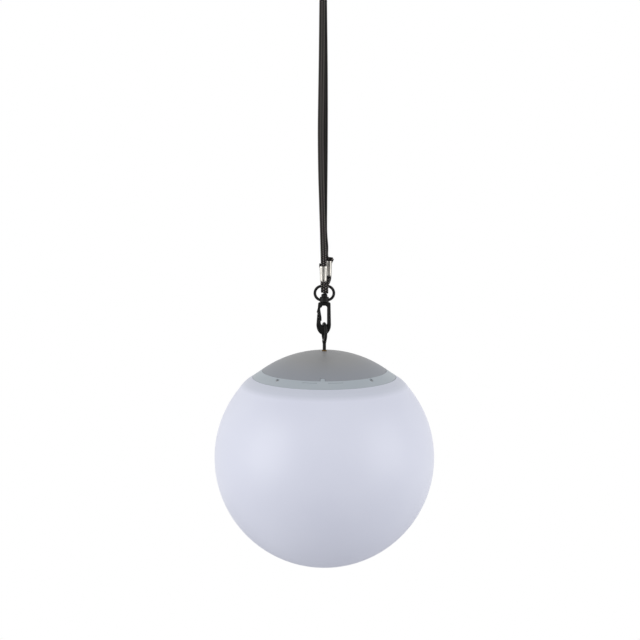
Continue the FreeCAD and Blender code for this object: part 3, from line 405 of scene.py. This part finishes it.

# ---- Crimps -------------------------------------------------------------------------------------
# A folded sleeve of nickel-plated steel round each end of the strap, pressed narrower towards the ring.
# Its two edges are rolled in and meet in a groove, darkened by painted shade.

crimp_length = 0.0141
crimp_foot = (0.0058, 0.0042)  # width and depth
crimp_top = (0.0070, 0.0052)
crimp_wall = 0.00042
crimp_groove = 0.0010
crimp_rolled = ((-0.00012, 0.00055), (0.0002, 0.0004))  # steps of a rolled edge: off the groove, inwards
crimp_waist = (0.985, 0.95)  # the middle's share of the width and depth
crimp_flat_from = 0.0014  # the jaws press what lies further than this to the front or back
crimp_flat_share = 0.94  # to this share of its depth


def pick(piece, test, kind="VERT"):
    """Selects the vertices, edges or faces that pass the test, and leaves the piece in edit mode."""
    if bpy.context.object.mode != "OBJECT":
        bpy.ops.object.mode_set(mode="OBJECT")
    bpy.context.tool_settings.mesh_select_mode = (kind == "VERT", kind == "EDGE", kind == "FACE")
    mesh = piece.data
    for part in (mesh.vertices, mesh.edges, mesh.polygons):
        part.foreach_set("select", [False] * len(part))
    chosen = {"VERT": mesh.vertices, "EDGE": mesh.edges, "FACE": mesh.polygons}[kind]
    for part in chosen:
        part.select = test(part)
    bpy.ops.object.mode_set(mode="EDIT")


def apply_modifier(piece, kind, **settings):
    """Adds a modifier with these settings and applies it."""
    bpy.context.view_layer.objects.active = piece
    modifier = piece.modifiers.new(kind.lower(), kind)
    for name, value in settings.items():
        setattr(modifier, name, value)
    bpy.ops.object.modifier_apply(modifier=modifier.name)


bpy.ops.object.select_all(action="DESELECT")
bpy.ops.mesh.primitive_cylinder_add(vertices=40, radius=crimp_foot[0] / 2, depth=crimp_length,
                                    end_fill_type="NOTHING", location=(0, 0, crimp_length / 2))
crimp = bpy.context.object
bpy.ops.object.transform_apply(location=True, rotation=True, scale=True)
pick(crimp, lambda v: True)
bpy.ops.transform.resize(value=(1, crimp_foot[1] / crimp_foot[0], 1), center_override=(0, 0, 0))
pick(crimp, lambda v: v.co.z > crimp_length / 2)
bpy.ops.transform.resize(value=(crimp_top[0] / crimp_foot[0], crimp_top[1] / crimp_foot[1], 1),
                         center_override=(0, 0, crimp_length))
for share in (0.12, 0.3, 0.5, 0.7, 0.9):
    pick(crimp, lambda v: True)
    bpy.ops.mesh.bisect(plane_co=(0, 0, crimp_length * share), plane_no=(0, 0, 1))
pick(crimp, lambda v: 0.25 * crimp_length < v.co.z < 0.75 * crimp_length)
bpy.ops.transform.resize(value=(*crimp_waist, 1), center_override=(0, 0, crimp_length / 2))
for side in (-1, 1):
    pick(crimp, lambda v: side * v.co.y > crimp_flat_from)
    bpy.ops.transform.resize(value=(1, crimp_flat_share, 1), center_override=(0, 0, crimp_length / 2))
for side in (-1, 1):
    pick(crimp, lambda v: True)
    bpy.ops.mesh.bisect(plane_co=(side * crimp_groove / 2, 0, 0), plane_no=(1, 0, 0))
pick(crimp, lambda f: f.center.y < 0 and abs(f.center.x) < crimp_groove / 2, "FACE")
bpy.ops.mesh.delete(type="FACE")
for side in (-1, 1):
    pick(crimp, lambda v: v.co.y < 0 and abs(v.co.x - side * crimp_groove / 2) < 0.00002)
    for away, inwards in crimp_rolled:
        bpy.ops.mesh.extrude_edges_move(TRANSFORM_OT_translate={"value": (side * away, inwards, 0)})
bpy.ops.object.mode_set(mode="OBJECT")
apply_modifier(crimp, "SOLIDIFY", thickness=crimp_wall, offset=-1)
apply_modifier(crimp, "BEVEL", width=0.00010, segments=2, limit_method="ANGLE", angle_limit=math.radians(50))
bpy.ops.object.shade_smooth_by_angle(angle=math.radians(40))

# Nickel plate on pressed steel: bright, with long soft draw marks from folding and small dull spots. The
# shader paints shade into its colour, near black in the groove and wherever the plate lies close to itself.
plate_bright = "#ABA8A2"
plate_rough = 0.26
groove_shade = 0.0015  # how close the plate must lie to itself to be darkened
plate, tree, shader = material("nickel_plated_steel", plate_bright, plate_rough, 1.0)
here = add(tree, "ShaderNodeTexCoord")
dull = add(tree, "ShaderNodeTexNoise", {"Vector": here.outputs["Object"], "Scale": 420.0, "Detail": 4.0})
dullness = add(tree, "ShaderNodeMapRange", {0: dull.outputs[0], 1: 0.35, 2: 0.75, 3: plate_rough - 0.06,
                                            4: plate_rough + 0.12})
tree.links.new(dullness.outputs[0], shader.inputs["Roughness"])
stretched = add(tree, "ShaderNodeMapping", {"Vector": here.outputs["Object"],
                                            "Scale": (1800.0, 1800.0, 90.0)})
draw_marks = add(tree, "ShaderNodeTexNoise", {"Vector": stretched.outputs[0], "Scale": 1.0, "Detail": 3.0})
marks = add(tree, "ShaderNodeBump", {"Strength": 0.25, "Distance": 0.00004, "Height": draw_marks.outputs[0]})
tree.links.new(marks.outputs[0], shader.inputs["Normal"])
# painted shade: the plate goes near black where it lies close to itself, as in the groove
open_face = add(tree, "ShaderNodeAmbientOcclusion", {"Distance": groove_shade}, samples=8)
painted_shade_factor = add(tree, "ShaderNodeMath", {0: open_face.outputs["AO"], 1: 2.2}, operation="POWER")
plate_with_painted_shade = add(tree, "ShaderNodeMix",
                 {0: painted_shade_factor.outputs[0], 6: colour("#0C0B09"), 7: colour(plate_bright)}, data_type="RGBA")
tree.links.new(plate_with_painted_shade.outputs[2], shader.inputs["Base Color"])

rear_crimp = crimp.copy()
rear_crimp.data = crimp.data.copy()
bpy.context.scene.collection.objects.link(rear_crimp)
edge_on = (crimp_foot[1] / crimp_foot[0], crimp_foot[0] / crimp_foot[1])  # swaps the rear one's two sizes
for piece, name, spot, sizes, stands_for in (
        (crimp, "crimp_front_sleeve", front_crimp_at, (1, 1), "crimp_front"),
        (rear_crimp, "crimp_rear_sleeve", rear_crimp_at, edge_on, "crimp_rear")):
    piece.name = name
    piece.data.name = name
    piece.data.transform(Matrix.Translation(spot) @ Matrix.Diagonal((*sizes, 1, 1)))
    piece.data.materials.append(plate)
    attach(piece, "strap")
    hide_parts(stands_for)

# ---- Cut ends of the strap ----------------------------------------------------------------------
# What is left of each end stands out of its crimp: the front one leans out to the left, and the rear one
# has spread into a fan. Heat has sealed the yarns, so they are ragged but hold together.

end_ruffle = 0.00016


def cut_end(name, spots, wide, half_wide, half_thick):
    """A short ragged piece of the braid through these points, with its half sizes spread along it."""
    line = spaced([Vector(s) for s in spots], yarn_pitch / yarn_points)
    total = len(line) - 1

    def between(values, n):
        place = n / total * (len(values) - 1)
        low = min(int(place), len(values) - 2)
        return values[low] + (values[low + 1] - values[low]) * (place - low)

    half_wides = [between(half_wide, n) for n in range(total + 1)]
    half_thicks = [between(half_thick, n) for n in range(total + 1)]
    end = flat_braid(name, line, [Vector(wide)] * (total + 1), half_wides, half_thicks, ruffle=end_ruffle)
    end.data.materials.append(braid_material)
    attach(end, "strap")
    return end


front_end = cut_end("strap_end_front",
                    [(-0.0024, -0.0003, -0.2620), (-0.0029, -0.0003, -0.2585), (-0.0036, -0.0003, -0.2562),
                     (-0.0038, -0.0004, -0.2541)],
                    wide=(0, 1, 0), half_wide=[0.0016, 0.0020, 0.0022, 0.0017],
                    half_thick=[0.0009, 0.0011, 0.0012, 0.0007])
rear_end = cut_end("strap_end_rear",
                   [(0.0045, 0.0035, -0.2570), (0.0045, 0.0034, -0.2524), (0.0046, 0.0032, -0.2508),
                    (0.0047, 0.0031, -0.2496), (0.0048, 0.0031, -0.2486)],
                   wide=(0.97, 0, -0.24), half_wide=[0.0018, 0.0022, 0.0032, 0.0040, 0.0028],
                   half_thick=[0.0010, 0.0012, 0.0014, 0.0013, 0.0008])

# ---- Swivel ring --------------------------------------------------------------------------------
# An oval loop of steel wire, welded into a short barrel in which the hook's stem turns. The whole of it is
# blackened.


def finish(node, paint):
    """Gives a solid of the model its material, in place of the plain one that it came with."""
    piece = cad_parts[node]
    piece.data.materials.clear()
    piece.data.materials.append(paint)


def black_metal(name, code, worn, roughness, grain):
    """Black coating on metal: a fine orange-peel surface, uneven in gloss, thinner and browner in spots."""
    made, tree, shader = material(name, code, roughness, Specular_IOR_Level=0.14)
    here = add(tree, "ShaderNodeTexCoord")
    cloud = add(tree, "ShaderNodeTexNoise", {"Vector": here.outputs["Object"], "Scale": grain / 6,
                                             "Detail": 4.0})
    thin = add(tree, "ShaderNodeValToRGB", {0: cloud.outputs[0]})
    thin.color_ramp.elements[0].position = 0.52
    thin.color_ramp.elements[0].color = colour(code)
    thin.color_ramp.elements[1].position = 0.72
    thin.color_ramp.elements[1].color = colour(worn)
    tree.links.new(thin.outputs[0], shader.inputs["Base Color"])
    gloss = add(tree, "ShaderNodeMapRange", {0: cloud.outputs[0], 1: 0.3, 2: 0.7, 3: roughness - 0.06,
                                             4: roughness + 0.10})
    tree.links.new(gloss.outputs[0], shader.inputs["Roughness"])
    peel = add(tree, "ShaderNodeTexNoise", {"Vector": here.outputs["Object"], "Scale": grain, "Detail": 2.0})
    bump = add(tree, "ShaderNodeBump", {"Strength": 0.3, "Distance": 0.00003, "Height": peel.outputs[0]})
    tree.links.new(bump.outputs[0], shader.inputs["Normal"])
    return made


# Black oxide on drawn wire: near black, with soft highlights and a trace of brown where it is thin.
black_steel = black_metal("black_oxide_steel_wire", "#0E0E0E", "#1F1D1B", 0.36, 2400.0)
finish("swivel_ring", black_steel)

# ---- Snap hook ----------------------------------------------------------------------------------
# A die-cast zinc body with a riveted stem that turns in the ring's barrel, and a sprung gate on a pin.
# The casting is coated black; the pin and the spring are steel.

# Black coating on a zinc casting: a little duller than the wire.
black_casting = black_metal("black_coated_zinc_casting", "#0D0D0D", "#1C1B19", 0.42, 1500.0)
finish("hook_body", black_casting)
finish("hook_gate", black_casting)
finish("gate_pin", black_steel)

# A low rib on the gate's outer face closes the fine slit that the solids leave between gate and nose.
rib_low = Vector((-0.00548, -0.0012, -0.3059))
rib_high = Vector((-0.0051, 0.0012, -0.2993))
bpy.ops.object.select_all(action="DESELECT")
bpy.ops.mesh.primitive_cube_add(size=1, location=(rib_low + rib_high) / 2, scale=rib_high - rib_low)
rib = bpy.context.object
rib.name = "gate_rib"
rib.data.name = "gate_rib"
bpy.ops.object.transform_apply(location=True, rotation=True, scale=True)
apply_modifier(rib, "BEVEL", width=0.00009, segments=2)
bpy.ops.object.shade_smooth_by_angle(angle=math.radians(40))
rib.data.materials.append(black_casting)
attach(rib, "gate")


def bright_metal(name, code, roughness, grain):
    """Plated or brass hardware: metal with a fine grain and an uneven polish."""
    made, tree, shader = material(name, code, roughness, 1.0)
    here = add(tree, "ShaderNodeTexCoord")
    cloud = add(tree, "ShaderNodeTexNoise", {"Vector": here.outputs["Object"], "Scale": grain / 5,
                                             "Detail": 4.0})
    polish = add(tree, "ShaderNodeMapRange", {0: cloud.outputs[0], 1: 0.3, 2: 0.7, 3: roughness - 0.08,
                                              4: roughness + 0.12})
    tree.links.new(polish.outputs[0], shader.inputs["Roughness"])
    fine = add(tree, "ShaderNodeTexNoise", {"Vector": here.outputs["Object"], "Scale": grain, "Detail": 2.0})
    bump = add(tree, "ShaderNodeBump", {"Strength": 0.2, "Distance": 0.00002, "Height": fine.outputs[0]})
    tree.links.new(bump.outputs[0], shader.inputs["Normal"])
    return made


# Zinc plate on small steel parts: a pale, slightly uneven shine.
zinc_plate = bright_metal("zinc_plated_steel", "#C3C4C2", 0.32, 2600.0)
finish("gate_spring", zinc_plate)

# ---- Eye bolt -----------------------------------------------------------------------------------
# Steel wire bent into a closed eye that hangs in the hook's bow, with a small brass collar at its foot. A
# washer and a nut hold it under the cap.

finish("eye_bolt", black_steel)
# Brass that has browned outdoors: a dull warm glint.
brass = bright_metal("browned_brass", "#5E4A2E", 0.42, 2200.0)
finish("eye_ferrule", brass)
finish("eye_washer", zinc_plate)
finish("eye_nut", zinc_plate)

# ---- Cap ----------------------------------------------------------------------------------------
# A shallow dome of frosted grey polycarbonate that lets light through to the solar panel under it. A
# rubber gasket lies under its edge.


def moulded(name, code, other, roughness, grain, depth):
    """Moulded plastic or rubber: a fine even texture from the mould and a faint cloudiness in the colour."""
    made, tree, shader = material(name, code, roughness)
    here = add(tree, "ShaderNodeTexCoord")
    cloud = add(tree, "ShaderNodeTexNoise", {"Vector": here.outputs["Object"], "Scale": 38.0, "Detail": 3.0})
    tint = add(tree, "ShaderNodeValToRGB", {0: cloud.outputs[0]})
    tint.color_ramp.elements[0].position = 0.3
    tint.color_ramp.elements[0].color = colour(code)
    tint.color_ramp.elements[1].position = 0.7
    tint.color_ramp.elements[1].color = colour(other)
    tree.links.new(tint.outputs[0], shader.inputs["Base Color"])
    grit = add(tree, "ShaderNodeTexNoise", {"Vector": here.outputs["Object"], "Scale": grain, "Detail": 2.0})
    bump = add(tree, "ShaderNodeBump", {"Strength": 0.25, "Distance": depth, "Height": grit.outputs[0]})
    tree.links.new(bump.outputs[0], shader.inputs["Normal"])
    return made


# Frosted polycarbonate: an even mid grey with a broad soft highlight.
bluer_from = 0.030  # distances from the axis between which the cap turns a little bluer
bluer_to = 0.052
frosted = moulded("frosted_grey_polycarbonate", "#969694", "#939391", 0.5, 2500.0, 0.00003)
tree = frosted.node_tree
shader = tree.nodes["Principled BSDF"]
cap_tint = shader.inputs["Base Color"].links[0].from_socket
here = add(tree, "ShaderNodeTexCoord")
flat_place = add(tree, "ShaderNodeVectorMath", {0: here.outputs["Object"], 1: (1.0, 1.0, 0.0)},
                 operation="MULTIPLY")
from_axis = add(tree, "ShaderNodeVectorMath", {0: flat_place.outputs[0]}, operation="LENGTH")
edge = add(tree, "ShaderNodeMapRange", {0: from_axis.outputs["Value"], 1: bluer_from, 2: bluer_to,
                                        3: 0.0, 4: 1.0})
edge_tint = add(tree, "ShaderNodeMix", {0: edge.outputs[0], 6: cap_tint, 7: colour("#909397")},
                data_type="RGBA")
tree.links.new(edge_tint.outputs[2], shader.inputs["Base Color"])
finish("solar_dome", frosted)
# EPDM rubber: dark grey and almost without shine.
rubber = moulded("epdm_rubber", "#3A3B3C", "#343536", 0.75, 1200.0, 0.00004)
finish("dome_gasket", rubber)

# ---- Lid ring -----------------------------------------------------------------------------------
# A ring of milky plastic that holds the cap and screws into the globe, with a key at the front, two fine
# drain slots beside it, and four small steel screws.

# Milky polypropylene: paler and bluer than the cap, with a soft waxy shine.
milky = moulded("milky_polypropylene", "#AFB6B9", "#AAB2B6", 0.42, 2000.0, 0.00003)
finish("lid_ring", milky)
# Stainless steel: small grey glints.
finish("lid_screws", bright_metal("stainless_steel_screw", "#8E9092", 0.42, 2500.0))

# ---- Solar panel and tray -----------------------------------------------------------------------
# A tray screwed under the lid ring carries a round laminated panel with four cells. The cells have
# printed silver fingers across wider bars.

# White moulded ABS: even and half matt.
tray_plastic = moulded("white_abs", "#E4E4E0", "#DEDEDA", 0.45, 1400.0, 0.00004)
finish("panel_tray", tray_plastic)
# Laminate on the back of the panel: smooth and pale.
finish("solar_panel", moulded("laminated_panel_back", "#C9CCD2", "#C2C6CC", 0.25, 900.0, 0.00002))
# Silicon behind laminate: a deep glossy blue, crossed by fine printed lines.
finger_pitch = 0.0022
finger_share = 0.12  # of the pitch
bar_pitch = 0.0165
bar_share = 0.09
silicon = "#10182E"
cell, tree, shader = material("monocrystalline_silicon", silicon, 0.22, Coat_Weight=0.5)
here = add(tree, "ShaderNodeTexCoord")
parts = add(tree, "ShaderNodeSeparateXYZ", {0: here.outputs["Object"]})
finger_place = add(tree, "ShaderNodeMath", {0: parts.outputs[0], 1: 1 / finger_pitch}, operation="MULTIPLY")
finger = add(tree, "ShaderNodeMath", {0: finger_place.outputs[0]}, operation="FRACT")
finger_on = add(tree, "ShaderNodeMath", {0: finger.outputs[0], 1: finger_share}, operation="LESS_THAN")
bar_place = add(tree, "ShaderNodeMath", {0: parts.outputs[1], 1: 1 / bar_pitch}, operation="MULTIPLY")
bar = add(tree, "ShaderNodeMath", {0: bar_place.outputs[0]}, operation="FRACT")
bar_on = add(tree, "ShaderNodeMath", {0: bar.outputs[0], 1: bar_share}, operation="LESS_THAN")
printed = add(tree, "ShaderNodeMath", {0: finger_on.outputs[0], 1: bar_on.outputs[0]}, operation="MAXIMUM")
cell_tint = add(tree, "ShaderNodeMix", {0: printed.outputs[0], 6: colour(silicon), 7: colour("#A9ADB2")},
                data_type="RGBA")
tree.links.new(cell_tint.outputs[2], shader.inputs["Base Color"])
finish("solar_cells", cell)

# ---- Light housing, boards and switch -----------------------------------------------------------
# A cup of white plastic under the tray holds a small circuit board on two posts, with a switch whose rubber
# button comes out of the floor. Three screws hold the cup.

# ABS from a textured mould: white, matt and slightly grainy.
housing_plastic = moulded("textured_white_abs", "#DADBD9", "#D4D5D3", 0.55, 700.0, 0.00006)
finish("light_housing", housing_plastic)
finish("housing_screws", zinc_plate)
# Nylon and silicone rubber: both matt, the rubber duller.
finish("switch_body", moulded("black_nylon", "#1E1E20", "#19191B", 0.5, 1500.0, 0.00003))
finish("power_button", moulded("silicone_rubber", "#55585C", "#505357", 0.62, 1800.0, 0.00003))


def board(name, mask, copper, silver):
    """A printed board: solder mask over copper tracks, with tinned pads."""
    made, tree, shader = material(name, mask, 0.35)
    here = add(tree, "ShaderNodeTexCoord")
    tracks = add(tree, "ShaderNodeTexBrick",
                 {"Vector": here.outputs["Object"], "Scale": 1.0, "Color1": colour(mask),
                  "Color2": colour(mask), "Mortar": colour(copper), "Mortar Size": 0.0004,
                  "Brick Width": 0.009, "Row Height": 0.0035})
    pads = add(tree, "ShaderNodeTexVoronoi", {"Vector": here.outputs["Object"], "Scale": 260.0,
                                              "Randomness": 0.6})
    pad_on = add(tree, "ShaderNodeMath", {0: pads.outputs["Distance"], 1: 0.16}, operation="LESS_THAN")
    tint = add(tree, "ShaderNodeMix", {0: pad_on.outputs[0], 6: tracks.outputs["Color"], 7: colour(silver)},
               data_type="RGBA")
    tree.links.new(tint.outputs[2], shader.inputs["Base Color"])
    height = add(tree, "ShaderNodeBump", {"Strength": 0.3, "Distance": 0.00004,
                                          "Height": tracks.outputs["Fac"]})
    tree.links.new(height.outputs[0], shader.inputs["Normal"])
    return made


# Green solder mask: satin, with a faint relief over the tracks.
finish("control_board", board("green_circuit_board", "#1E5A35", "#2F7A4C", "#B9BBB7"))

# ---- Lights -------------------------------------------------------------------------------------
# Eight small lights, soldered to a ring-shaped board with a white mask. A moulded cover of frosted acrylic
# lies over them.

# White solder mask, yellow phosphor in resin, and frosted acrylic over them.
finish("led_board", board("white_light_board", "#E6E6E2", "#D2D2CC", "#B4B6B4"))
finish("leds", moulded("phosphor_resin", "#E8D46A", "#E2CC5C", 0.3, 1500.0, 0.00002))
finish("led_cover", moulded("frosted_acrylic", "#EEF0F0", "#E9ECEC", 0.35, 2200.0, 0.00002))

# ---- Battery bay --------------------------------------------------------------------------------
# One rechargeable cell in a plastic sleeve, between a contact plate and a contact spring, under a hinged
# door in the floor of the housing.

# Shrunk PVC: glossy and finely wrinkled, with bare steel at both ends of the cell.
cell_end = 0.0022  # length of bare metal at each end of the cell
sleeve_green = "#3F7F4A"
sleeve, tree, shader = material("shrunk_pvc_sleeve", sleeve_green, 0.3)
here = add(tree, "ShaderNodeTexCoord")
parts = add(tree, "ShaderNodeSeparateXYZ", {0: here.outputs["Object"]})
cell_low, cell_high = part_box("battery_cell")
bare_from = max(abs(cell_low.x), abs(cell_high.x)) - cell_end
reach = add(tree, "ShaderNodeMath", {0: parts.outputs[0]}, operation="ABSOLUTE")
bare = add(tree, "ShaderNodeMath", {0: reach.outputs[0], 1: bare_from}, operation="GREATER_THAN")
sleeve_tint = add(tree, "ShaderNodeMix", {0: bare.outputs[0], 6: colour(sleeve_green), 7: colour("#B9BAB8")},
                  data_type="RGBA")
tree.links.new(sleeve_tint.outputs[2], shader.inputs["Base Color"])
tree.links.new(bare.outputs[0], shader.inputs["Metallic"])
wrinkle = add(tree, "ShaderNodeTexNoise", {"Vector": here.outputs["Object"], "Scale": 300.0, "Detail": 3.0})
wrinkles = add(tree, "ShaderNodeBump", {"Strength": 0.2, "Distance": 0.00005, "Height": wrinkle.outputs[0]})
tree.links.new(wrinkles.outputs[0], shader.inputs["Normal"])
finish("battery_cell", sleeve)
finish("contact_plate", zinc_plate)
finish("contact_spring", zinc_plate)
finish("battery_door", housing_plastic)

# ---- Globe --------------------------------------------------------------------------------------
# A hollow ball of white polyethylene with a rolled lip at its mouth and a gasket under the lid ring. Its
# skin is satin, with the faint unevenness of a rotation-moulded wall. The lid's skirt stands behind the lip,
# so less light comes through there; the colour paints that in as shade.

finish("neck_gasket", rubber)
# White polyethylene: a faintly bluish white with a broad soft highlight.
skirt_from = -0.3665  # heights between which the lid's skirt comes to stand behind the wall
skirt_to = -0.3625
wall_white = "#E1E3ED"
globe_plastic, tree, shader = material("white_polyethylene", wall_white, 0.42)
here = add(tree, "ShaderNodeTexCoord")
wall = add(tree, "ShaderNodeTexNoise", {"Vector": here.outputs["Object"], "Scale": 14.0, "Detail": 2.0})
wall_tint = add(tree, "ShaderNodeValToRGB", {0: wall.outputs[0]})
wall_tint.color_ramp.elements[0].position = 0.3
wall_tint.color_ramp.elements[0].color = colour("#DDDFEA")
wall_tint.color_ramp.elements[1].position = 0.7
wall_tint.color_ramp.elements[1].color = colour(wall_white)
heights = add(tree, "ShaderNodeSeparateXYZ", {0: here.outputs["Object"]})
# painted shade: the wall is drawn greyer where the lid's skirt stands behind it
skirt_shade_share = add(tree, "ShaderNodeMapRange", {0: heights.outputs[2], 1: skirt_from, 2: skirt_to, 3: 0.0, 4: 1.0})
wall_with_painted_skirt_shade = add(tree, "ShaderNodeMix", {0: skirt_shade_share.outputs[0], 6: wall_tint.outputs[0], 7: colour("#D0D3DC")},
               data_type="RGBA")
tree.links.new(wall_with_painted_skirt_shade.outputs[2], shader.inputs["Base Color"])
skin = add(tree, "ShaderNodeTexNoise", {"Vector": here.outputs["Object"], "Scale": 1600.0, "Detail": 2.0})
skin_bump = add(tree, "ShaderNodeBump", {"Strength": 0.15, "Distance": 0.00002, "Height": skin.outputs[0]})
tree.links.new(skin_bump.outputs[0], shader.inputs["Normal"])
finish("globe_diffuser", globe_plastic)
